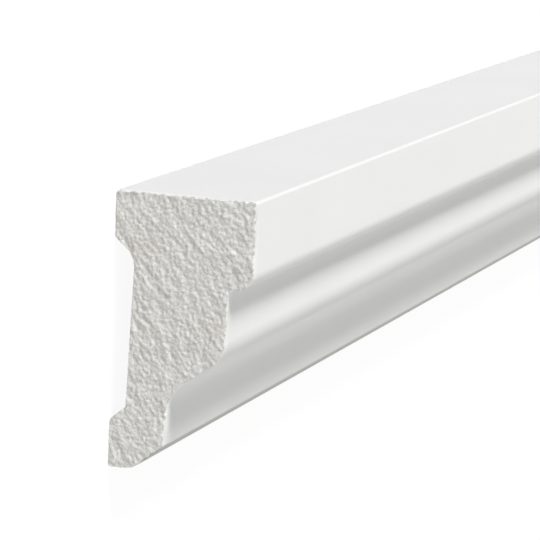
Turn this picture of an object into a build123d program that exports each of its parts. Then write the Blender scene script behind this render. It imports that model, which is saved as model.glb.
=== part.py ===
from build123d import *
import os
from math import radians, tan

# Rake moulding: one length of roof-edge trim, extruded in a single piece of cellular PVC.
# It lies on its back, as it rests unheld, with the moulded face up.
# X runs along the stock, Y from the foot up to the head, and Z from the back out to the face.
# The origin is the middle of the underside. Sizes are in millimetres, angles in degrees.

# Stock: an 8 ft length of a 1 5/16 in by 2 1/2 in section
stock_length = 2438.4
section_height = 63.5
section_depth = 33.34

# Head: the square band along the top, with a plain fascia and a round lower edge
head_height = 20.2
head_front_radius = 0.5
head_back_radius = 0.8
fascia_lower_radius = 4.2

# Quirk: the sharp inner corner where the head steps back to the ogee
quirk_depth = 5.7
quirk_radius = 0.4

# Ogee: a nearly upright flat that rolls over, slopes down and sweeps into the foot
upright_lean = 1.6
ogee_slope = 35.0
ogee_upper_radius = 8.0
ogee_lower_radius = 8.0
ogee_lower_height = 18.7

# Foot: its leaning face, and the bevel below it that sheds water forward
foot_depth = 13.0
foot_lean = 6.3
bevel_rise = 6.0
bevel_radius = 0.7
foot_bottom_depth = 5.9
foot_bottom_radius = 6.0
foot_back_radius = 0.8

# Relieved back: two flat lands bear on the wall, with a shallow hollow between them
head_land_height = 10.7
foot_land_height = 11.1
hollow_depth_at_head = 4.87
hollow_depth_at_foot = 3.85
shoulder_angle = 39.0
head_shoulder_radius = 2.0
head_cove_radius = 6.0
foot_cove_radius = 0.8
foot_shoulder_radius = 3.0

# The most that two neighbouring fillets may take together of the straight between them
fillet_share = 0.98


def ogee_corners():
    """The sharp lower and upper corners of the ogee slope, as (depth, height)."""
    foot_face_run = (ogee_lower_height - bevel_rise) * tan(radians(foot_lean))
    lower_depth = foot_depth + foot_face_run
    slope_run = 1 / tan(radians(ogee_slope))
    lean_run = tan(radians(upright_lean))
    upright_top_depth = section_depth - quirk_depth
    upright_top_height = section_height - head_height
    upright_gap = upright_top_depth - upright_top_height * lean_run - lower_depth
    upper_height = (upright_gap + ogee_lower_height * slope_run) / (slope_run - lean_run)
    upper_depth = lower_depth + (upper_height - ogee_lower_height) * slope_run
    return (lower_depth, ogee_lower_height), (upper_depth, upper_height)


def face_corners():
    """Sharp corners and radii of the moulded face, from the foot up to the head."""
    head_underside = section_height - head_height
    ogee_lower, ogee_upper = ogee_corners()
    return [
        ((foot_bottom_depth, 0), foot_bottom_radius),
        ((foot_depth, bevel_rise), bevel_radius),
        (ogee_lower, ogee_lower_radius),
        (ogee_upper, ogee_upper_radius),
        ((section_depth - quirk_depth, head_underside), quirk_radius),
        ((section_depth, head_underside), fascia_lower_radius),
        ((section_depth, section_height), head_front_radius),
    ]


def back_corners():
    """Sharp corners and radii of the relieved back, from the head down to the foot."""
    head_land_end = section_height - head_land_height
    shoulder_rise = tan(radians(shoulder_angle))
    head_cove_height = head_land_end - hollow_depth_at_head * shoulder_rise
    foot_cove_height = foot_land_height + hollow_depth_at_foot * shoulder_rise
    return [
        ((0, section_height), head_back_radius),
        ((0, head_land_end), head_shoulder_radius),
        ((hollow_depth_at_head, head_cove_height), head_cove_radius),
        ((hollow_depth_at_foot, foot_cove_height), foot_cove_radius),
        ((0, foot_land_height), foot_shoulder_radius),
        ((0, 0), foot_back_radius),
    ]


def setback(before, corner, after, radius):
    """How far from its corner a fillet of this radius starts."""
    corner_angle = (before - corner).get_angle(after - corner)
    return radius / tan(radians(corner_angle / 2))


def fitting_radii(corners, wanted):
    """The wanted fillets, made smaller where two of them would meet on a short straight."""
    count = len(corners)
    setbacks = []
    for i in range(count):
        setbacks.append(setback(corners[i - 1], corners[i], corners[(i + 1) % count], wanted[i]))
    room = []
    for i in range(count):
        straight = (corners[i] - corners[i - 1]).length
        room.append(min(1, fillet_share * straight / (setbacks[i - 1] + setbacks[i])))
    return [wanted[i] * min(room[i], room[(i + 1) % count]) for i in range(count)]


def section_face():
    """The closed section on the stock's near end, with its height along Y and depth along Z."""
    outline = face_corners() + back_corners()
    corners = [Vector(height - section_height / 2, depth) for (depth, height), _ in outline]
    radii = fitting_radii(corners, [radius for _, radius in outline])
    near_end = Plane(origin=(-stock_length / 2, 0, 0), x_dir=(0, 1, 0), z_dir=(1, 0, 0))
    with BuildSketch(near_end) as section:
        with BuildLine():
            FilletPolyline(*corners, radius=radii, close=True)
        make_face()
    return section.sketch


def rake_moulding():
    """The whole stock: its section run along X and cut square at both ends."""
    return extrude(section_face(), amount=stock_length, dir=(1, 0, 0))


os.makedirs("parts", exist_ok=True)
export_step(rake_moulding(), "parts/rake_moulding.step")
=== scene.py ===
import math

import bpy
from mathutils import Matrix, Vector


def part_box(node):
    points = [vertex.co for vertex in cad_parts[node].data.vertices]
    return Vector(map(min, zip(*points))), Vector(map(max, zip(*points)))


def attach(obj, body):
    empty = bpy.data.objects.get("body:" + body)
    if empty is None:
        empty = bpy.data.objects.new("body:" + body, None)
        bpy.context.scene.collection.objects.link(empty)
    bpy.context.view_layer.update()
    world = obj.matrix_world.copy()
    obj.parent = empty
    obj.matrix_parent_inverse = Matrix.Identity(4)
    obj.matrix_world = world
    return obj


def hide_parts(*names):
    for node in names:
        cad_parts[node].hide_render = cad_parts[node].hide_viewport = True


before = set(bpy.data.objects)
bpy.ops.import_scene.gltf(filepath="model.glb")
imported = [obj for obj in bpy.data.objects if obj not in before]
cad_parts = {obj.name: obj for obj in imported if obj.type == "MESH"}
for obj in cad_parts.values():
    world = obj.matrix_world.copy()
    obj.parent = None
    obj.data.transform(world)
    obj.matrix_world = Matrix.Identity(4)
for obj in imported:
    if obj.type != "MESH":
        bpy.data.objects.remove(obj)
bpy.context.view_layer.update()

# The moulding: one length of roof-edge trim, extruded in cellular PVC, a fine rigid foam that
# skins over smooth as it leaves the die. It lies on its back with the moulded face up, and a saw
# cut both ends square, which tore the foam open there.
mm = 0.001
low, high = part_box("rake_moulding")
stock_length = (high.x - low.x) / mm
section_height = (high.y - low.y) / mm
section_depth = (high.z - low.z) / mm

# Each sharp corner of the section as depth, height and the radius that rounds it, in millimetres
head_underside = section_height - 20.2
quirk_back = section_depth - 5.7
head_land_end = section_height - 10.7
corners = [
    (5.9, 0, 6.0),                          # under the foot
    (13.0, 6.0, 0.7),                       # bevel to the foot's face
    (14.40, 18.7, 8.0),                     # cove at the bottom of the ogee
    (27.21, 27.67, 8.0),                    # roll at the top of the ogee
    (quirk_back, head_underside, 0.4),      # quirk
    (section_depth, head_underside, 4.2),   # lower edge of the fascia
    (section_depth, section_height, 0.7),   # top of the fascia
    (0, section_height, 0.8),               # top of the back
    (0, head_land_end, 2.0),                # end of the land behind the head
    (4.87, 48.86, 6.0),                     # hollow of the back, at the head
    (3.85, 14.22, 0.8),                     # hollow of the back, at the foot
    (0, 11.1, 3.0),                         # end of the land behind the foot
    (0, 0, 0.8),                            # back of the foot
]
arc_chord = 0.35                    # longest facet on a rounded corner
arc_fewest = 3                      # facets on the smallest corner
weld = 0.01                         # how near two points of the outline are one
saw_overrun = 2.0                   # what the saw takes off each end of the extrusion
end_loops = (1.6, 4.0, 10.0, 40.0)  # rings round the skin, counted from each sawn end


def section_point(depth, height):
    """A point of the section in metres, on the plane where the extrusion starts."""
    return Vector((low.x - saw_overrun * mm, low.y + height * mm, low.z + depth * mm))


# The section is drawn from a single vertex, extruded along each flat and spun round each corner
sharp = [section_point(depth, height) for depth, height, _ in corners]
rounds = []
for i, (_, _, radius) in enumerate(corners):
    back = (sharp[i - 1] - sharp[i]).normalized()
    ahead = (sharp[(i + 1) % len(sharp)] - sharp[i]).normalized()
    half_angle = back.angle(ahead) / 2
    setback = radius * mm / math.tan(half_angle)
    centre = sharp[i] + (back + ahead).normalized() * radius * mm / math.sin(half_angle)
    side = 1 if back.cross(ahead).x > 0 else -1  # spin counts clockwise turns as positive
    turn = side * (math.pi - 2 * half_angle)
    rounds.append((sharp[i] + back * setback, sharp[i] + ahead * setback, centre, turn, radius))

bpy.ops.object.select_all(action="DESELECT")
bpy.ops.mesh.primitive_plane_add(size=mm)
moulding = bpy.context.active_object
moulding.name = "moulding"
bpy.ops.object.mode_set(mode="EDIT")
bpy.ops.mesh.merge(type="CENTER")
pen = rounds[-1][1]
bpy.ops.transform.translate(value=pen)
for arrive, leave, centre, turn, radius in rounds:
    bpy.ops.mesh.extrude_vertices_move(TRANSFORM_OT_translate={"value": arrive - pen})
    steps = max(arc_fewest, math.ceil(abs(turn) * radius / arc_chord))
    bpy.ops.mesh.spin(steps=steps, angle=turn, center=centre, axis=(1, 0, 0))
    pen = leave
bpy.ops.mesh.select_all(action="SELECT")
bpy.ops.mesh.remove_doubles(threshold=weld * mm)
bpy.ops.mesh.edge_face_add()

# Extruded along X a little over length, with rings near the ends that keep the saw's marks short
run = (stock_length + 2 * saw_overrun) * mm
bpy.ops.mesh.extrude_region_move(TRANSFORM_OT_translate={"value": (run, 0, 0)})
for distance in end_loops:
    for end in (-1, 1):
        bpy.ops.mesh.select_all(action="SELECT")
        ring = end * (stock_length / 2 - distance) * mm
        bpy.ops.mesh.bisect(plane_co=(ring, 0, 0), plane_no=(1, 0, 0))
bpy.ops.mesh.select_all(action="SELECT")
bpy.ops.mesh.normals_make_consistent(inside=False)
bpy.ops.object.mode_set(mode="OBJECT")

# Both saw cuts at once: the stock is intersected with a block of its net length, whose two ends
# are finely gridded, so each sawn face gets the grid and shares its rim with the skin
grid_cell = 0.20
block_margin = 2.0
block_height = section_height + 2 * block_margin
block_depth = section_depth + 2 * block_margin
bpy.ops.object.select_all(action="DESELECT")
bpy.ops.mesh.primitive_grid_add(
    x_subdivisions=round(block_depth / grid_cell),
    y_subdivisions=round(block_height / grid_cell),
    size=mm,
)
saw_block = bpy.context.active_object
bpy.ops.object.mode_set(mode="EDIT")
bpy.ops.transform.resize(value=(block_depth, block_height, 1))
bpy.ops.transform.rotate(value=math.pi / 2, orient_axis="Y", center_override=(0, 0, 0))
bpy.ops.transform.translate(value=(low.x, 0, section_depth / 2 * mm))
bpy.ops.mesh.extrude_region_move(TRANSFORM_OT_translate={"value": (stock_length * mm, 0, 0)})
bpy.ops.mesh.select_all(action="SELECT")
bpy.ops.mesh.normals_make_consistent(inside=False)
bpy.ops.object.mode_set(mode="OBJECT")

bpy.ops.object.select_all(action="DESELECT")
moulding.select_set(True)
bpy.context.view_layer.objects.active = moulding
saw = moulding.modifiers.new("saw", "BOOLEAN")
saw.operation = "INTERSECT"
saw.solver = "EXACT"
saw.object = saw_block
bpy.ops.object.modifier_apply(modifier=saw.name)
bpy.data.objects.remove(saw_block)

# Each sawn face is found by its normal, its slivers are merged and its rim stays a sharp edge
square_on = 0.99  # how much of a sawn face's normal lies along the stock
sliver = 0.10     # edges up to this length are merged away
moulding.data.materials.append(bpy.data.materials.new("foam_pvc_skin"))
moulding.data.materials.append(bpy.data.materials.new("foam_pvc_sawn"))
for name in ("near_cut", "far_cut", "rims"):
    moulding.vertex_groups.new(name=name)
for name, outward in (("near_cut", -1), ("far_cut", 1)):
    bpy.ops.object.mode_set(mode="EDIT")
    bpy.ops.mesh.select_mode(type="FACE")
    bpy.ops.mesh.select_all(action="DESELECT")
    bpy.ops.object.mode_set(mode="OBJECT")
    for face in moulding.data.polygons:
        face.select = abs(face.normal.x) > square_on and face.center.x * outward > 0
    bpy.ops.object.mode_set(mode="EDIT")
    moulding.active_material_index = 1
    bpy.ops.object.material_slot_assign()
    bpy.ops.mesh.remove_doubles(threshold=sliver * mm)
    bpy.ops.object.vertex_group_set_active(group=name)
    bpy.ops.object.vertex_group_assign()
    bpy.ops.mesh.region_to_loop()
    bpy.ops.mesh.mark_sharp()
    bpy.ops.object.vertex_group_set_active(group="rims")
    bpy.ops.object.vertex_group_assign()
bpy.ops.object.mode_set(mode="OBJECT")

# The back and the underside, where the blade came out clean, chip less than the top and the face
clean_share = 0.3  # of the chips' full depth
clean_depth = 6.0  # how far up from the back the blade came out clean
top_strip = 1.0    # but not this near the top
rims = moulding.vertex_groups["rims"]
for vertex in moulding.data.vertices:
    on_rim = any(member.group == rims.index for member in vertex.groups)
    behind = vertex.co.z < clean_depth * mm and vertex.co.y < high.y - top_strip * mm
    if on_rim and behind:
        rims.add([vertex.index], clean_share, "REPLACE")


def displace(group, kind, size, stretch, depth, direction="NORMAL", uncut=1.0, **pattern):
    """
    Pushes a group of vertices in by a noise. Its size is in millimetres and is stretched along
    the saw's streaks. Depth is how far it moves them over its range, in millimetres, and where
    it reaches uncut they stay.
    """
    grain = bpy.data.objects.new("grain", None)
    bpy.context.collection.objects.link(grain)
    grain.rotation_euler = (streak_lean, 0, 0)
    grain.scale = (mm, mm * stretch, mm)
    noise = bpy.data.textures.new("grain", kind)
    noise.noise_scale = size
    noise.use_clamp = True
    for setting, value in pattern.items():
        setattr(noise, setting, value)
    mark = moulding.modifiers.new("grain", "DISPLACE")
    mark.texture = noise
    mark.texture_coords = "OBJECT"
    mark.texture_coords_object = grain
    mark.vertex_group = group
    mark.direction = direction
    mark.strength = depth * mm
    mark.mid_level = uncut
    bpy.context.view_layer.update()
    bpy.ops.object.modifier_apply(modifier=mark.name)
    bpy.data.objects.remove(grain)


# Chips are out of the rim here and there, and the grid inside is then evened out to follow it
streak_lean = math.radians(-30)  # the streaks' lean from the section's height
evening_passes = 60
displace(
    "rims", "CLOUDS", size=0.80, stretch=1.0, depth=0.50,
    noise_depth=1, contrast=2.5, intensity=1.25,
)
bpy.ops.object.mode_set(mode="EDIT")
bpy.ops.mesh.select_mode(type="VERT")
bpy.ops.mesh.select_all(action="DESELECT")
for name in ("near_cut", "far_cut"):
    bpy.ops.object.vertex_group_set_active(group=name)
    bpy.ops.object.vertex_group_select()
bpy.ops.object.vertex_group_set_active(group="rims")
bpy.ops.object.vertex_group_deselect()
bpy.ops.mesh.vertices_smooth(factor=0.5, repeat=evening_passes, xaxis=False)
bpy.ops.object.mode_set(mode="OBJECT")

# What the saw leaves inside the rim: torn lumps of foam, a ragged finer grain, and broad ridges
# where its teeth dragged slantwise over the face
for name, inward in (("near_cut", 1), ("far_cut", -1)):
    displace(
        name, "VORONOI", size=0.90, stretch=1.0, depth=0.12 * inward, direction="X",
        uncut=0.0, distance_metric="DISTANCE_SQUARED", noise_intensity=1.6,
    )
    displace(
        name, "CLOUDS", size=0.80, stretch=1.2, depth=-0.13 * inward, direction="X",
        noise_depth=2, contrast=2.0,
    )
    displace(
        name, "CLOUDS", size=2.00, stretch=2.6, depth=-0.15 * inward, direction="X",
        noise_depth=1, contrast=2.0,
    )

crease = math.radians(50)
bpy.ops.object.shade_smooth_by_angle(angle=crease, keep_sharp_edges=True)
flats = moulding.modifiers.new("flats", "WEIGHTED_NORMAL")
flats.keep_sharp = True
bpy.ops.object.modifier_apply(modifier=flats.name)


def linear(hex_colour):
    """An sRGB hex colour as the linear RGBA that a shader socket takes."""
    rgb = [int(hex_colour[i:i + 2], 16) / 255 for i in (1, 3, 5)]
    return [c / 12.92 if c <= 0.04045 else ((c + 0.055) / 1.055) ** 2.4 for c in rgb] + [1.0]


def node(tree, kind, inputs=None, **settings):
    """Adds a node: settings are its own, and inputs are values or the sockets that feed them."""
    made = tree.nodes.new("ShaderNode" + kind)
    for name, value in settings.items():
        setattr(made, name, value)
    for name, value in (inputs or {}).items():
        if isinstance(value, bpy.types.NodeSocket):
            tree.links.new(value, made.inputs[name])
        else:
            made.inputs[name].default_value = value
    return made


# Foam PVC skin, extruded: white with a soft satin sheen that spreads highlights wide. Faint
# lines drawn by the die run along it, over a slight orange peel. It turns whiter in a narrow
# band beside each cut, partly the saw's stress whitening and partly painted highlight, and the bevel
# under the foot is greyed with painted shade.
skin = moulding.data.materials[0]
skin.use_nodes = True
tree = skin.node_tree
surface = tree.nodes["Principled BSDF"]
surface.inputs["IOR"].default_value = 1.53
surface.inputs["Specular IOR Level"].default_value = 0.15
die_line_width = 0.9
die_line_length = 160.0
peel_size = 1.6
ripple_depth = 0.02   # of the die lines and of the peel
ripple_share = 0.12   # of that depth, what shows
cloud_size = 30.0
band_start = 3.0    # where the whitening and painted highlight start, counted from the cut
band_full = 1.0     # and where they are full
bevel_shade_top = 6.2      # top of the painted shade on the bevel
bevel_shade_fade = 1.7      # how far under that the painted shade is full
place = node(tree, "TexCoord").outputs["Object"]
die_scale = [1 / (die_line_length * mm), 1 / (die_line_width * mm), 1 / (die_line_width * mm)]
die_place = node(tree, "Mapping", {"Vector": place, "Scale": die_scale}).outputs["Vector"]
die_lines = node(tree, "TexNoise", {"Vector": die_place, "Scale": 1.0, "Detail": 2.0}).outputs["Fac"]
peel_scale = 1 / (peel_size * mm)
peel = node(tree, "TexNoise", {"Vector": place, "Scale": peel_scale, "Detail": 1.0}).outputs["Fac"]
cloud_scale = 1 / (cloud_size * mm)
clouds = node(tree, "TexNoise", {"Vector": place, "Scale": cloud_scale, "Detail": 3.0}).outputs["Fac"]
axis = node(tree, "SeparateXYZ", {"Vector": place}).outputs
from_middle = node(tree, "Math", {0: axis["X"]}, operation="ABSOLUTE").outputs["Value"]
# Partly painted highlight: the band beside each cut is whitened, partly the saw's stress whitening
# and partly standing in for the light that reaches round the cut end
stress_and_highlight_band = node(tree, "MapRange", {
    "Value": from_middle,
    "From Min": (stock_length / 2 - band_start) * mm,
    "From Max": (stock_length / 2 - band_full) * mm,
}, interpolation_type="SMOOTHSTEP").outputs["Result"]
shade = node(tree, "ValToRGB", {"Fac": clouds})
shade.color_ramp.elements[0].position = 0.3
shade.color_ramp.elements[0].color = linear("#EAEAEA")
shade.color_ramp.elements[1].position = 0.7
shade.color_ramp.elements[1].color = linear("#ECECEC")
whitened_and_lit_skin = node(tree, "MixRGB", {
    "Fac": stress_and_highlight_band,
    "Color1": shade.outputs["Color"],
    "Color2": linear("#F2F2F1"),
})
# Painted shade: the bevel under the foot is greyed towards its lower edge, standing in for the shadow
# that falls there; it is not the skin's own colour
bevel_shade_mask = node(tree, "MapRange", {
    "Value": axis["Y"],
    "From Min": low.y + bevel_shade_top * mm,
    "From Max": low.y + (bevel_shade_top - bevel_shade_fade) * mm,
}, interpolation_type="SMOOTHSTEP").outputs["Result"]
painted_bevel_shade = node(tree, "MixRGB", {
    "Fac": bevel_shade_mask,
    "Color1": whitened_and_lit_skin.outputs["Color"],
    "Color2": linear("#C0C0BD"),
})
tree.links.new(painted_bevel_shade.outputs["Color"], surface.inputs["Base Color"])
sheen = node(tree, "MapRange", {"Value": die_lines, "To Min": 0.60, "To Max": 0.70}).outputs["Result"]
tree.links.new(sheen, surface.inputs["Roughness"])
lined = node(tree, "Bump", {
    "Height": die_lines,
    "Strength": ripple_share,
    "Distance": ripple_depth * mm,
})
peeled = node(tree, "Bump", {
    "Height": peel,
    "Strength": ripple_share,
    "Distance": ripple_depth * mm,
    "Normal": lined.outputs["Normal"],
})
tree.links.new(peeled.outputs["Normal"], surface.inputs["Normal"])

# Foam PVC, sawn: the torn cells scatter the light, so it is matt. It has greyer spots in a pale
# foam, partly the foam's own uneven tone and partly painted shade for its pits, both drawn out along
# the saw's streaks, and a slightly warm cast where the blade rubbed.
sawn = moulding.data.materials[1]
sawn.use_nodes = True
tree = sawn.node_tree
surface = tree.nodes["Principled BSDF"]
surface.inputs["IOR"].default_value = 1.53
surface.inputs["Roughness"].default_value = 0.85
cell_size = 0.35
cell_depth = 0.10
tear_size = 0.7
tear_stretch = 3.0  # how many times longer a tear is than it is wide
rub_size = 9.0
place = node(tree, "TexCoord").outputs["Object"]
tear_scale = [1 / (tear_size * mm), 1 / (tear_size * tear_stretch * mm), 1 / (tear_size * mm)]
lean = [-streak_lean, 0, 0]
leaning = node(tree, "Mapping", {"Vector": place, "Rotation": lean}).outputs["Vector"]
tear_place = node(tree, "Mapping", {"Vector": leaning, "Scale": tear_scale}).outputs["Vector"]
tears = node(tree, "TexNoise", {"Vector": tear_place, "Scale": 1.0, "Detail": 2.0}).outputs["Fac"]
cell_scale = 1 / (cell_size * mm)
cells = node(tree, "TexNoise", {"Vector": place, "Scale": cell_scale, "Detail": 1.0}).outputs["Fac"]
rub_scale = 1 / (rub_size * mm)
rubbed = node(tree, "TexNoise", {"Vector": place, "Scale": rub_scale, "Detail": 2.0}).outputs["Fac"]
both = node(tree, "Math", {0: tears, 1: cells}, operation="ADD").outputs["Value"]
average = node(tree, "Math", {0: both, 1: 0.5}, operation="MULTIPLY").outputs["Value"]
# Partly painted shade: the darker end of this ramp stands in for the shade in the sawn foam's pits as
# well as for its own uneven tone
pit_tone_and_shade = node(tree, "ValToRGB", {"Fac": average})
pit_tone_and_shade.color_ramp.elements[0].position = 0.36
pit_tone_and_shade.color_ramp.elements[0].color = linear("#D9D7D4")
pit_tone_and_shade.color_ramp.elements[1].position = 0.52
pit_tone_and_shade.color_ramp.elements[1].color = linear("#F6F4F2")
warmth = node(tree, "MapRange", {
    "Value": rubbed,
    "From Min": 0.58,
    "From Max": 0.75,
    "To Max": 0.5,
})
cast = node(tree, "MixRGB", {
    "Fac": warmth.outputs["Result"],
    "Color1": pit_tone_and_shade.outputs["Color"],
    "Color2": linear("#EAE4DF"),
})
tree.links.new(cast.outputs["Color"], surface.inputs["Base Color"])
grain = node(tree, "Bump", {"Height": cells, "Strength": 0.4, "Distance": cell_depth * mm})
tree.links.new(grain.outputs["Normal"], surface.inputs["Normal"])

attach(moulding, "root")
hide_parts("rake_moulding")

# The floor: a plain pale studio floor, wide enough for every view. To the camera, and in what
# the moulding reflects, most of it is plain white, and the rest keeps a soft shadow. To other
# light it is grey, so it throws little back up.
floor_width = 2000.0  # metres
floor_gap = 0.1       # millimetres, just clear of the back's two lands
white_share = 0.90
white_level = 1.03    # makes up for the rest, which is a little under white
bpy.ops.object.select_all(action="DESELECT")
bpy.ops.mesh.primitive_plane_add(size=floor_width, location=(0, 0, low.z - floor_gap * mm))
floor = bpy.context.active_object
floor.name = "studio_floor"
paint = bpy.data.materials.new("studio_floor_paint")
floor.data.materials.append(paint)
paint.use_nodes = True
tree = paint.node_tree
tree.nodes.clear()


def seen_directly(tree):
    """1 for rays from the camera and for those that a reflection or glass sends on, else 0."""
    path = node(tree, "LightPath").outputs
    sent_on = {0: path["Is Glossy Ray"], 1: path["Is Transmission Ray"]}
    shiny = node(tree, "Math", sent_on, operation="MAXIMUM").outputs["Value"]
    either = {0: path["Is Camera Ray"], 1: shiny}
    return node(tree, "Math", either, operation="MAXIMUM").outputs["Value"]


seen = seen_directly(tree)
share = node(tree, "Math", {0: seen, 1: white_share}, operation="MULTIPLY").outputs["Value"]
tone = node(tree, "MixRGB", {"Fac": seen, "Color1": linear("#606060"), "Color2": linear("#F8F8F8")})
lit = node(tree, "BsdfDiffuse", {"Color": tone.outputs["Color"]}).outputs["BSDF"]
white = {"Color": linear("#FFFFFF"), "Strength": white_level}
plain = node(tree, "Emission", white).outputs["Emission"]
mixed = node(tree, "MixShader", {0: share, 1: lit, 2: plain}).outputs["Shader"]
node(tree, "OutputMaterial", {"Surface": mixed})

# The light: a high key in front of the face, narrow enough to draw the head's shadow on the
# ogee, a broad soft fill from low off each end, a lamp square to the far cut, and a faint sky
# that is brighter on the foot's side. To the camera and in reflections the sky is plain white.
fill_tint = linear("#FEFFFB")
# Each lamp is given as its name, its degrees out of the face towards the head and then towards
# the far end, its spread in degrees and its strength
lamps = [
    ("key", 60.1, -9.5, 15, 3.10),
    ("near_fill", -20, -65, 60, 1.22),
    ("far_fill", -20, 74, 60, 0.63),
    ("far_end", 60, 89, 6, 1.05),
]
for name, headward, farward, spread, strength in lamps:
    bpy.ops.object.light_add(type="SUN")
    lamp = bpy.context.active_object
    lamp.name = name
    lamp.rotation_mode = "YXZ"
    lamp.rotation_euler = (math.radians(-headward), math.radians(farward), 0)
    lamp.data.angle = math.radians(spread)
    lamp.data.energy = strength
    if name != "key":
        lamp.data.color = fill_tint[:3]
    lamp.visible_glossy = name != "far_end"  # that one would glint all along the skin it grazes

world = bpy.data.worlds.new("studio_sky")
bpy.context.scene.world = world
world.use_nodes = True
tree = world.node_tree
tree.nodes.clear()
direction = node(tree, "TexCoord").outputs["Generated"]
headwards = node(tree, "SeparateXYZ", {"Vector": direction}).outputs["Y"]
glow = node(tree, "MapRange", {
    "Value": headwards,
    "From Min": -1.0,
    "From Max": 0.0,
    "To Min": 0.98,
    "To Max": 0.09,
}).outputs["Result"]
faint = node(tree, "Background", {"Color": fill_tint, "Strength": glow}).outputs["Background"]
white = {"Color": linear("#FFFFFF"), "Strength": 1.0}
plain = node(tree, "Background", white).outputs["Background"]
sky = node(tree, "MixShader", {0: seen_directly(tree), 1: faint, 2: plain}).outputs["Shader"]
node(tree, "OutputWorld", {"Surface": sky})

# The camera: a long lens at the photograph's viewpoint. It looks down on the moulding with the
# head's side at the top of the picture and the near end towards it.
camera_place = Vector((-1.83327, 0.13214, 0.25034))
picture_right = Vector((0.3344, 0.0398, 0.9416))
picture_up = Vector((0.1513, 0.9839, -0.0953))
bpy.ops.object.camera_add(location=camera_place)
camera = bpy.context.active_object
camera.data.lens = 200
camera.data.sensor_width = 36
camera.data.clip_start = 0.01
camera.data.clip_end = floor_width
axes = Matrix((picture_right, picture_up, picture_right.cross(picture_up))).transposed()
camera.rotation_euler = axes.to_euler()
bpy.context.scene.camera = camera
bpy.context.scene.view_settings.view_transform = "Standard"
